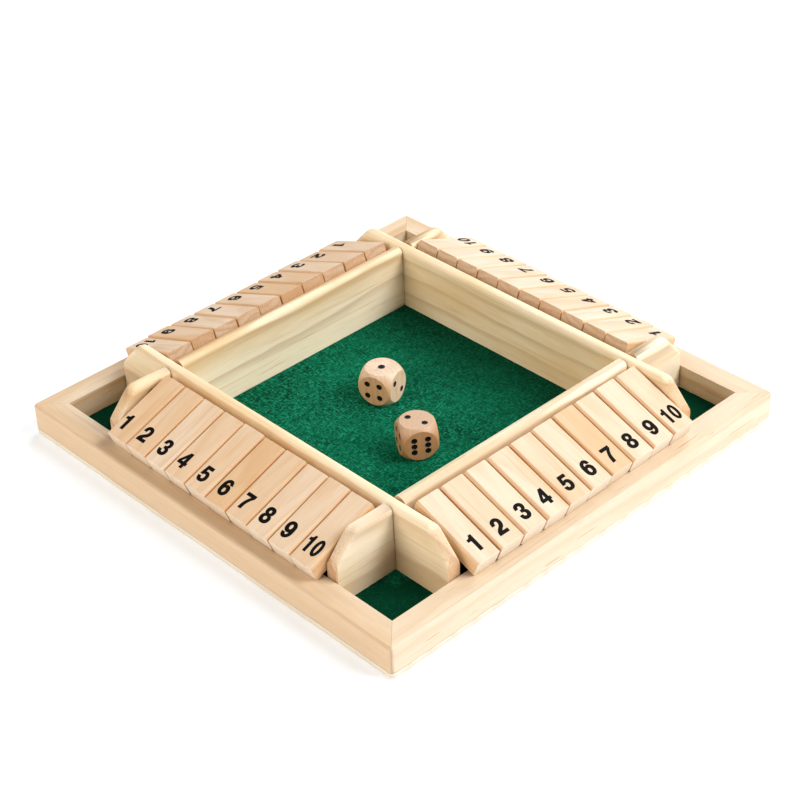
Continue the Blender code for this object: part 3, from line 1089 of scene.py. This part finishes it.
# Outlines of the printed figures: the height is 1, and a third value marks a smooth point
FIGURES: dict[str, list[list[tuple[float, ...]]]] = {
    "1": [[
        (0.46, 0.0), (0.46, 1.0), (0.31, 1.0), (0.29, 0.93, 1), (0.22, 0.85, 1), (0.06, 0.81),
        (0.06, 0.68), (0.26, 0.68), (0.26, 0.0),
    ]],
    "2": [[
        (0.04, 0.0), (0.68, 0.0), (0.68, 0.17), (0.31, 0.17), (0.42, 0.28, 1), (0.60, 0.43, 1),
        (0.68, 0.68, 1), (0.62, 0.88, 1), (0.37, 1.0, 1), (0.12, 0.88, 1), (0.05, 0.64),
        (0.245, 0.64), (0.28, 0.78, 1), (0.365, 0.83, 1), (0.46, 0.79, 1), (0.48, 0.68, 1),
        (0.42, 0.53, 1), (0.22, 0.36, 1), (0.08, 0.20, 1),
    ]],
    "3": [[
        (0.04, 0.31), (0.235, 0.31), (0.27, 0.20, 1), (0.36, 0.155, 1), (0.45, 0.185, 1),
        (0.485, 0.29, 1), (0.44, 0.39, 1), (0.29, 0.43), (0.29, 0.57), (0.42, 0.60, 1),
        (0.465, 0.705, 1), (0.43, 0.81, 1), (0.36, 0.84, 1), (0.28, 0.80, 1), (0.25, 0.70),
        (0.06, 0.70), (0.14, 0.92, 1), (0.36, 1.0, 1), (0.58, 0.93, 1), (0.66, 0.735, 1),
        (0.62, 0.59, 1), (0.53, 0.515), (0.645, 0.43, 1), (0.69, 0.275, 1), (0.60, 0.06, 1),
        (0.36, -0.015, 1), (0.13, 0.06, 1),
    ]],
    "4": [
        [
            (0.39, 0.0), (0.58, 0.0), (0.58, 0.21), (0.68, 0.21), (0.68, 0.37), (0.58, 0.37),
            (0.58, 1.0), (0.385, 1.0), (0.03, 0.38), (0.03, 0.21), (0.39, 0.21),
        ],
        [(0.39, 0.37), (0.39, 0.73), (0.19, 0.37)],
    ],
    "5": [[
        (0.04, 0.27), (0.235, 0.27), (0.27, 0.18, 1), (0.36, 0.145, 1), (0.455, 0.20, 1),
        (0.485, 0.325, 1), (0.455, 0.45, 1), (0.365, 0.495, 1), (0.29, 0.475, 1), (0.245, 0.42),
        (0.07, 0.42), (0.15, 0.985), (0.63, 0.985), (0.63, 0.81), (0.295, 0.81), (0.27, 0.60),
        (0.40, 0.645, 1), (0.61, 0.56, 1), (0.685, 0.33, 1), (0.60, 0.085, 1),
        (0.36, -0.015, 1), (0.12, 0.06, 1),
    ]],
    "6": [[
        (0.645, 0.725), (0.46, 0.725), (0.43, 0.80, 1), (0.365, 0.835, 1), (0.265, 0.76, 1),
        (0.235, 0.58), (0.30, 0.635, 1), (0.41, 0.66, 1), (0.60, 0.575, 1), (0.68, 0.33, 1),
        (0.59, 0.08, 1), (0.365, -0.015, 1), (0.12, 0.10, 1), (0.035, 0.46, 1),
        (0.12, 0.86, 1), (0.37, 1.0, 1), (0.56, 0.93, 1),
    ]],
    "7": [[
        (0.04, 0.985), (0.675, 0.985), (0.675, 0.83), (0.50, 0.58, 1), (0.40, 0.30, 1),
        (0.375, 0.0), (0.165, 0.0), (0.21, 0.30, 1), (0.31, 0.57, 1), (0.465, 0.81), (0.04, 0.81),
    ]],
    "8": [[
        (0.36, 1.0, 1), (0.585, 0.92, 1), (0.65, 0.735, 1), (0.61, 0.60, 1), (0.525, 0.53),
        (0.64, 0.445, 1), (0.69, 0.285, 1), (0.60, 0.065, 1), (0.36, -0.015, 1),
        (0.12, 0.065, 1), (0.03, 0.285, 1), (0.08, 0.445, 1), (0.195, 0.53),
        (0.11, 0.60, 1), (0.07, 0.735, 1), (0.135, 0.92, 1),
    ]],
}
# Counters and ovals: the middle and the half width and half height of each
OVALS: dict[str, list[tuple[float, float, float, float]]] = {
    "0": [(0.36, 0.4925, 0.325, 0.5075), (0.36, 0.4925, 0.13, 0.35)],
    "6": [(0.365, 0.32, 0.12, 0.175)],
    "8": [(0.36, 0.72, 0.105, 0.115), (0.36, 0.30, 0.13, 0.145)],
}


@dataclass
class PrintedNumber:
    """A number printed on a tile: the ink is a thin layer that keeps the figure's outline.

    Its shares are of the number's height, and two figures are drawn narrower than one.
    """

    text: str
    height: float = 7.45 * MM
    ink: float = 0.03 * MM
    weight_share: float = 0.022
    middle_shares: tuple[float, float] = (0.36, 0.4925)
    pitch_share: float = 0.74
    narrow: float = 0.78
    oval_points: int = 12

    def outline(
        self, curve: bpy.types.Curve, points: list[tuple[float, ...]], place: Matrix, is_hole: bool
    ) -> None:
        """Adds one closed outline to a flat curve, clockwise, or the other way round for a hole.

        Args:
            curve: The curve that takes it.
            points: The outline's points, smooth where a third value is given.
            place: Carries the figure's own square to the number's.
            is_hole: Whether the outline is that of a hole.
        """
        pairs = zip(points, points[1:] + points[:1])
        twice_area = sum(a[0] * b[1] - b[0] * a[1] for a, b in pairs)
        if (twice_area > 0) != is_hole:
            points = points[::-1]
        spline = curve.splines.new("BEZIER")
        spline.bezier_points.add(len(points) - 1)
        spline.use_cyclic_u = True
        for bead, point in zip(spline.bezier_points, points):
            bead.co = place @ Vector((point[0], point[1], 0.0))
            handle = "AUTO" if len(point) > 2 else "VECTOR"
            bead.handle_left_type = bead.handle_right_type = handle

    def figure(self, curve: bpy.types.Curve, digit: str, place: Matrix) -> None:
        """Adds one digit's outlines to a flat curve.

        Args:
            curve: The curve that takes them.
            digit: The digit. A nine is a six turned over.
            place: Carries the figure's own square to the number's.
        """
        if digit == "9":
            middle = Matrix.Translation((*self.middle_shares, 0.0))
            place = place @ middle @ Matrix.Rotation(math.pi, 4, "Z") @ middle.inverted()
            digit = "6"
        outlines = list(FIGURES.get(digit, []))
        angles = [2 * math.pi * step / self.oval_points for step in range(self.oval_points)]
        for x, y, half_width, half_height in OVALS.get(digit, []):
            outlines.append(
                [(x + half_width * math.cos(turn), y + half_height * math.sin(turn), 1) for turn in angles]
            )
        for drawn, points in enumerate(outlines):
            self.outline(curve, points, place, is_hole=drawn > 0)

    def build(self) -> bpy.types.Mesh:
        """Builds the number about its own middle, upright in X and Y, with its underside at zero.

        Returns:
            The number's mesh.
        """
        curve = bpy.data.curves.new(f"number {self.text}", "CURVE")
        curve.dimensions = "2D"
        curve.fill_mode = "BOTH"
        curve.extrude = self.ink / 2 / self.height
        curve.resolution_u = 6
        curve.offset = self.weight_share
        narrow = 1.0 if len(self.text) == 1 else self.narrow
        squeeze = Matrix.Diagonal((narrow, 1.0, 1.0, 1.0))
        centre = Matrix.Translation((-self.middle_shares[0], 0.0, 0.0))
        for place, digit in enumerate(self.text):
            middle = (place - (len(self.text) - 1) / 2) * self.pitch_share * narrow
            shift = Matrix.Translation((middle, -0.5, 0.0))
            self.figure(curve, digit, shift @ squeeze @ centre)
        drawn = bpy.data.objects.new(f"number {self.text}", curve)
        bpy.context.scene.collection.objects.link(drawn)
        graph = bpy.context.evaluated_depsgraph_get()
        mesh = bpy.data.meshes.new_from_object(drawn.evaluated_get(graph))
        bpy.data.objects.remove(drawn, do_unlink=True)
        bm = bmesh.new()
        bm.from_mesh(mesh)
        bmesh.ops.remove_doubles(bm, verts=bm.verts[:], dist=1e-5)
        bmesh.ops.scale(bm, vec=(self.height,) * 3, verts=bm.verts[:])
        bmesh.ops.translate(bm, vec=(0.0, 0.0, self.ink / 2), verts=bm.verts[:])
        return close_mesh(bm, f"number {self.text}", smooth_angle=30.0)


@dataclass
class TileRow:
    """A side's ten number tiles on their rod.

    A tile's own axes start on the rod: X runs to its outer end, Y along the rod and Z up from the
    tile's middle. Fields that hold two values are ranges to draw from, and the slips and the
    heart's places are in millimetres.
    """

    side: Side
    length: float = 34.7 * MM
    width: float = 12.11 * MM
    thickness: float = 8.5 * MM
    end_to_rod: float = 8.7 * MM
    chamfer: tuple[float, float] = (0.5 * MM, 0.85 * MM)
    edge_radius: float = 0.3 * MM
    bore_radius: float = 1.85 * MM
    rod_place: tuple[float, float] = (81.2 * MM, 28.2 * MM)
    slope: float = 20.929
    tilts: tuple[float, float] = (-0.1, 0.9)
    slip: float = 0.3
    heart_across: float = 9.0
    heart_through: tuple[float, float] = (9.0, 30.0)
    tones: tuple[float, float] = (-0.8, 0.5)
    outer_tint: float = 0.05
    # The tiles' outer ends are paler: partly sanding, partly painted light
    sanded: float = 0.5
    number_place: float = 17.7 * MM
    print_slip: float = 0.2
    two_figure_share: float = 0.3
    print_lift: float = 0.004 * MM
    count: int = 10
    row_seed: int = 97
    tile_seed: int = 200
    seeds_apart: int = 20

    def blank(self, planed: float, slip: float, chamfer: float) -> bpy.types.Mesh:
        """Builds one tile with chamfered long edges, sanded rims and its bore.

        Args:
            planed: How much thinner than its fellows the tile was planed, in metres.
            slip: How much nearer to the outer end the bore was drilled, in metres.
            chamfer: How far the long edges were sanded back, in metres.

        Returns:
            The tile's mesh on its own axes.
        """
        bm = bmesh.new()
        bmesh.ops.create_cube(bm, size=1.0)
        size = (self.length, self.width, self.thickness - planed)
        bmesh.ops.scale(bm, vec=size, verts=bm.verts[:])
        shift = (self.length / 2 - self.end_to_rod - slip, 0.0, -planed / 2)
        bmesh.ops.translate(bm, vec=shift, verts=bm.verts[:])
        # The long edges were sanded back to a chamfer, and every rim was broken after it
        bevel(bm, [e for e in bm.edges if abs(e.verts[0].co.x - e.verts[1].co.x) > MM], chamfer, 1)
        bevel(bm, bm.edges[:], self.edge_radius, 3)
        drill = bmesh.new()
        bmesh.ops.create_cone(
            drill,
            cap_ends=True,
            segments=24,
            radius1=self.bore_radius,
            radius2=self.bore_radius,
            depth=2 * self.width,
            matrix=Matrix.Rotation(math.pi / 2, 4, "X"),
        )
        mesh = cut_by(close_mesh(bm, "tile"), close_mesh(drill, "drill"), "DIFFERENCE", "tile")
        mesh.shade_smooth()
        mesh.set_sharp_from_angle(angle=math.radians(50.0))
        return mesh

    def place(self, number: int, tilt: float) -> Matrix:
        """The place of a tile, read from its CAD node.

        Args:
            number: The tile's number.
            tilt: How much less than its fellows it leans, in degrees.

        Returns:
            The matrix that carries the tile's own axes there.
        """
        low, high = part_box(f"{self.side.word}_tile_{number:02d}")
        middle = self.side.turn.inverted() @ ((low + high) / 2)
        spot = Matrix.Translation((self.rod_place[0], middle.y, self.rod_place[1]))
        lean = Matrix.Rotation(math.radians(self.slope - tilt), 4, "Y")
        return self.side.turn @ spot @ lean

    def build(self, wood: bpy.types.Material, ink: bpy.types.Material, order: int) -> None:
        """Builds the row: each tile has a plank, a tone and a lean of its own.

        Args:
            wood: The tiles' pine.
            ink: The numbers' ink.
            order: The side's place among the four, which seeds the differences.
        """
        chance = random.Random(self.row_seed + order)
        look = LOOKS[self.side]
        for number in range(1, self.count + 1):
            label = f"{self.side.word}_tile_{number:02d}"
            tilt = chance.uniform(*self.tilts)
            planed = chance.uniform(0.0, look.planing)
            chamfer = chance.uniform(*self.chamfer) * look.chamfers
            slip = chance.uniform(-self.slip, self.slip) * MM
            # Folded over the walls, a row's last tile passes close above the next row's first one
            if number in (1, self.count):
                slip = abs(slip)
            if number == self.count:
                tilt = min(tilt, 0.0)
            place = self.place(number, tilt)
            mesh = self.blank(planed, slip, chamfer)
            mesh.name = label
            across = chance.uniform(-self.heart_across, self.heart_across)
            through = chance.choice((-1, 1)) * chance.uniform(*self.heart_through)
            # The row's tone move paints the back light's glare on the north tiles
            tone = look.deep_tiles.get(number, chance.uniform(*self.tones)) + look.tile_tone
            plank = Plank(
                Lay.TILE,
                (across * MM, through * MM),
                seed=self.tile_seed + self.seeds_apart * order + number,
                tone=tone,
                far_end=self.outer_tint,
                near_end=look.inner_tint,
                sanded=self.sanded,
            )
            plank.mark(mesh)
            mesh.transform(place)
            show(mesh, f"{label}_pine", wood, label, label)

            printed = PrintedNumber(str(number)).build()
            # Two figures leave less room beside them than one
            shift = look.print_shift * (1.0 if number < 10 else self.two_figure_share)
            shift += chance.uniform(-self.print_slip, self.print_slip) * MM
            top = self.thickness / 2 - planed + self.print_lift
            spot = Matrix.Translation((self.number_place, shift, top))
            # The figure's up points inward along the tile
            quarter = Matrix.Rotation(math.pi / 2, 4, "Z")
            printed.transform(place @ spot @ quarter)
            name = f"{self.side.word}_number_{number:02d}"
            show(printed, name, ink, label, even_normals=False)


# How each face of a die is turned from the top one: opposite faces add up to seven
DIE_FACES = {
    1: ("Z", 0.0),
    6: ("X", math.pi),
    2: ("Y", math.pi / 2),
    5: ("Y", -math.pi / 2),
    4: ("X", math.pi / 2),
    3: ("X", -math.pi / 2),
}


@dataclass
class Die:
    """A wooden die: a cube whose corners are turned off by a ball, with drilled, blackened pips."""

    name: str
    turn: Matrix
    lay: Lay
    side: float = 15.7 * MM
    ball: float = 21.1 * MM
    tone: float = 0.0
    heart: tuple[float, float] = (7.0 * MM, 16.0 * MM)
    pip_radius: float = 1.34 * MM
    single_radius: float = 1.58 * MM
    pip_pitch: float = 2.9 * MM
    pip_depth: float = 0.5 * MM

    def pips(self, count: int) -> list[tuple[int, int]]:
        """Where a face's pips lie.

        Args:
            count: How many pips the face has.

        Returns:
            Steps of the pip pitch from the face's middle.
        """
        corners = [(-1, -1), (1, 1), (-1, 1), (1, -1)]
        if count == 6:
            return [(y, x) for x, y in corners + [(-1, 0), (1, 0)]]
        chosen = {1: [], 2: corners[:2], 3: corners[2:], 4: corners, 5: corners}[count]
        return chosen + [(0, 0)] * (count % 2)

    def build(self, wood: bpy.types.Material, lacquer: bpy.types.Material, seed: int) -> None:
        """Builds the die where its CAD node lies.

        Args:
            wood: The die's beech.
            lacquer: The black in its pips.
            seed: Tells this die's figure from the other's.
        """
        cube = bmesh.new()
        bmesh.ops.create_cube(cube, size=self.side)
        ball = bmesh.new()
        bmesh.ops.create_uvsphere(ball, u_segments=96, v_segments=64, radius=self.ball / 2)
        body = cut_by(close_mesh(cube, "cube"), close_mesh(ball, "ball"), "INTERSECT", "die")
        drills = bmesh.new()
        for count, (axis, angle) in DIE_FACES.items():
            turned = Matrix.Rotation(angle, 4, axis)
            radius = self.single_radius if count == 1 else self.pip_radius
            for across, along in self.pips(count):
                spot = Vector((across * self.pip_pitch, along * self.pip_pitch, self.side / 2))
                # The drill widens outward, and meets the face at the pip's own radius
                bmesh.ops.create_cone(
                    drills,
                    cap_ends=True,
                    segments=24,
                    radius1=radius * 0.8,
                    radius2=radius * 1.2,
                    depth=2 * self.pip_depth,
                    matrix=turned @ Matrix.Translation(spot),
                )
        mesh = cut_by(body, close_mesh(drills, "pip drills"), "DIFFERENCE", "die")
        mesh.shade_smooth()
        mesh.set_sharp_from_angle(angle=math.radians(17.0))
        mesh.materials.clear()
        mesh.materials.append(wood)
        mesh.materials.append(lacquer)
        # A face that lies deeper than the flat faces and the ball's round ones is in a pip
        flat, near = self.side / 2 - LEVEL, 0.485 * self.ball
        for face in mesh.polygons:
            is_deep = max(abs(c) for c in face.center) < flat and face.center.length < near
            face.material_index = 1 if is_deep else 0
        Plank(self.lay, self.heart, seed=seed, tone=self.tone).mark(mesh)
        low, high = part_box(self.name)
        mesh.transform(Matrix.Translation((low + high) / 2) @ self.turn)
        show(mesh, f"{self.name}_beech", None, self.name, self.name)


@dataclass(frozen=True)
class SoftLight:
    """A soft square light that faces the tray.

    Attributes:
        name: The light's name.
        azimuth: Where it stands, in degrees from east towards north.
        elevation: Its height above the horizon in degrees.
        distance: Its distance in metres.
        size: The side of its square in metres.
        power: Its power in watts.
        tint: Its colour.
    """

    name: str
    azimuth: float
    elevation: float
    distance: float
    size: float
    power: float
    tint: str

    def build(self) -> None:
        """Puts the light in the scene."""
        around, up = math.radians(self.azimuth), math.radians(self.elevation)
        direction = Vector((math.cos(around) * math.cos(up), math.sin(around) * math.cos(up), math.sin(up)))
        lamp = bpy.data.lights.new(self.name, "AREA")
        lamp.shape = "SQUARE"
        lamp.size = self.size
        lamp.energy = self.power
        lamp.color = linear(self.tint)[:3]
        holder = bpy.data.objects.new(self.name, lamp)
        holder.location = direction * self.distance
        holder.rotation_euler = direction.to_track_quat("Z", "Y").to_euler()
        bpy.context.scene.collection.objects.link(holder)


@dataclass
class Studio:
    """The pale floor, the soft lights and the camera."""

    azimuth: float = 47.55
    elevation: float = 35.04
    roll: float = -2.40
    distance: float = 824.48 * MM
    target: tuple[float, float, float] = (-4.16 * MM, 3.71 * MM, 10.0 * MM)
    focal_pixels: float = 1930.33
    photo_pixels: float = 800.0
    sensor: float = 36.0
    floor_half: float = 4.0
    floor_gap: float = 0.4 * MM
    floor_glow: float = 0.27
    room_light: float = 0.22
    lights: tuple[SoftLight, ...] = (
        SoftLight("key", 32.0, 41.0, 1.5, 0.9, 24.2, "#FFFEFC"),
        SoftLight("back", 110.0, 34.0, 1.6, 0.9, 13.0, "#F8FAFF"),
        SoftLight("fill", -105.0, 28.0, 1.8, 1.2, 20.0, "#FFF7EA"),
    )

    def build_floor(self) -> None:
        """Builds the floor, a pale sheet far wider than the tray."""
        bm = bmesh.new()
        bmesh.ops.create_grid(bm, x_segments=8, y_segments=8, size=self.floor_half)
        mesh = close_mesh(bm, "floor")
        material, tree, shader = open_material("floor, pale matt paper")
        place = add_node(tree, "TexCoord", output="Object")
        # The paper is mottled every 330 mm or so
        mottle = add_node(tree, "TexNoise", values={"Vector": place, "Scale": 3.0, "Detail": 2.0})
        colour = add_node(tree, "Mix", BLEND, {0: mottle, 6: linear("#EDF2FA"), 7: linear("#F0F5FB")})
        feed(tree, shader, {"Base Color": colour, "Roughness": 0.9})
        # The sheet is lit from below, as on a light table, so that shadows on it stay pale
        feed(tree, shader, {"Emission Color": linear("#FFFFFF"), "Emission Strength": self.floor_glow})
        mesh.materials.append(material)
        floor = bpy.data.objects.new("floor", mesh)
        floor.location = (0.0, 0.0, -self.floor_gap)
        bpy.context.scene.collection.objects.link(floor)
        floor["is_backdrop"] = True

    def build_lights(self) -> None:
        """Adds the key light from the right, a back light, a warm fill and the room's own light."""
        for light in self.lights:
            light.build()
        world = bpy.data.worlds.new("white room")
        world.use_nodes = True
        white = {"Color": linear("#FFFFFF"), "Strength": self.room_light}
        feed(world.node_tree, world.node_tree.nodes["Background"], white)
        bpy.context.scene.world = world
        bpy.context.scene.view_settings.view_transform = "Standard"

    def build_camera(self) -> None:
        """Adds the camera where the photograph was taken from."""
        around, up = math.radians(self.azimuth), math.radians(self.elevation)
        back = Vector((math.sin(around) * math.cos(up), -math.cos(around) * math.cos(up), math.sin(up)))
        right = Vector((math.cos(around), math.sin(around), 0.0))
        above = back.cross(right)
        tilt = math.radians(self.roll)
        x_axis = right * math.cos(tilt) + above * math.sin(tilt)
        y_axis = above * math.cos(tilt) - right * math.sin(tilt)
        lens = bpy.data.cameras.new("camera")
        lens.sensor_width = self.sensor
        lens.lens = self.focal_pixels / self.photo_pixels * self.sensor
        lens.clip_start = 0.01
        holder = bpy.data.objects.new("camera", lens)
        spot = Vector(self.target) + back * self.distance
        turn = Matrix((x_axis, y_axis, back)).transposed().to_4x4()
        holder.matrix_world = Matrix.Translation(spot) @ turn
        bpy.context.scene.collection.objects.link(holder)
        bpy.context.scene.camera = holder


def write_sizes() -> None:
    """Gathers the CAD box and the visual model's box as plain lists."""
    boxes = {"cad": CAD_BOX, "visual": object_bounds()}
    plain = {name: [list(corner) for corner in box] for name, box in boxes.items()}


def main() -> None:
    """Builds the game piece by piece, then the studio round it."""
    logging.basicConfig(level=logging.INFO, format="%(name)s %(message)s")
    studio = Studio()
    studio.build_camera()

    tray = Tray()
    tray.build_base(Plywood().make())
    tray.build_felt(NeedledFelt().make())
    tray.build_rails(RAIL_PINE.make())
    tray.build_walls(WALL_PINE.make())
    tray.build_rods(DrawnSteel().make())

    tile_pine = TILE_PINE.make()
    number_ink = BlackPrint("numbers, black screen ink").make()
    for order, side in enumerate(Side):
        TileRow(side).build(tile_pine, number_ink, order)

    beech = DIE_BEECH.make()
    lacquer = BlackPrint(
        "dice pips, black lacquer", full="#0A0A0B", thin="#1C1815", roughness=0.3, specular=0.4
    ).make()
    first_turn = Matrix.Rotation(math.radians(18.2), 4, "Z")
    Die("die_1", first_turn, Lay.BLOCK, tone=-0.3).build(beech, lacquer, 501)
    # The second die shows two on top and six to the front
    two_up = Matrix(((0, 1, 0), (0, 0, 1), (1, 0, 0))).to_4x4()
    second_turn = Matrix.Rotation(math.radians(59.8), 4, "Z") @ two_up
    Die("die_2", second_turn, Lay.LYING_BLOCK, tone=1.3).build(beech, lacquer, 502)

    studio.build_floor()
    studio.build_lights()
    write_sizes()
    LOG.info("the game is dressed")


if __name__ == "__main__":
    main()
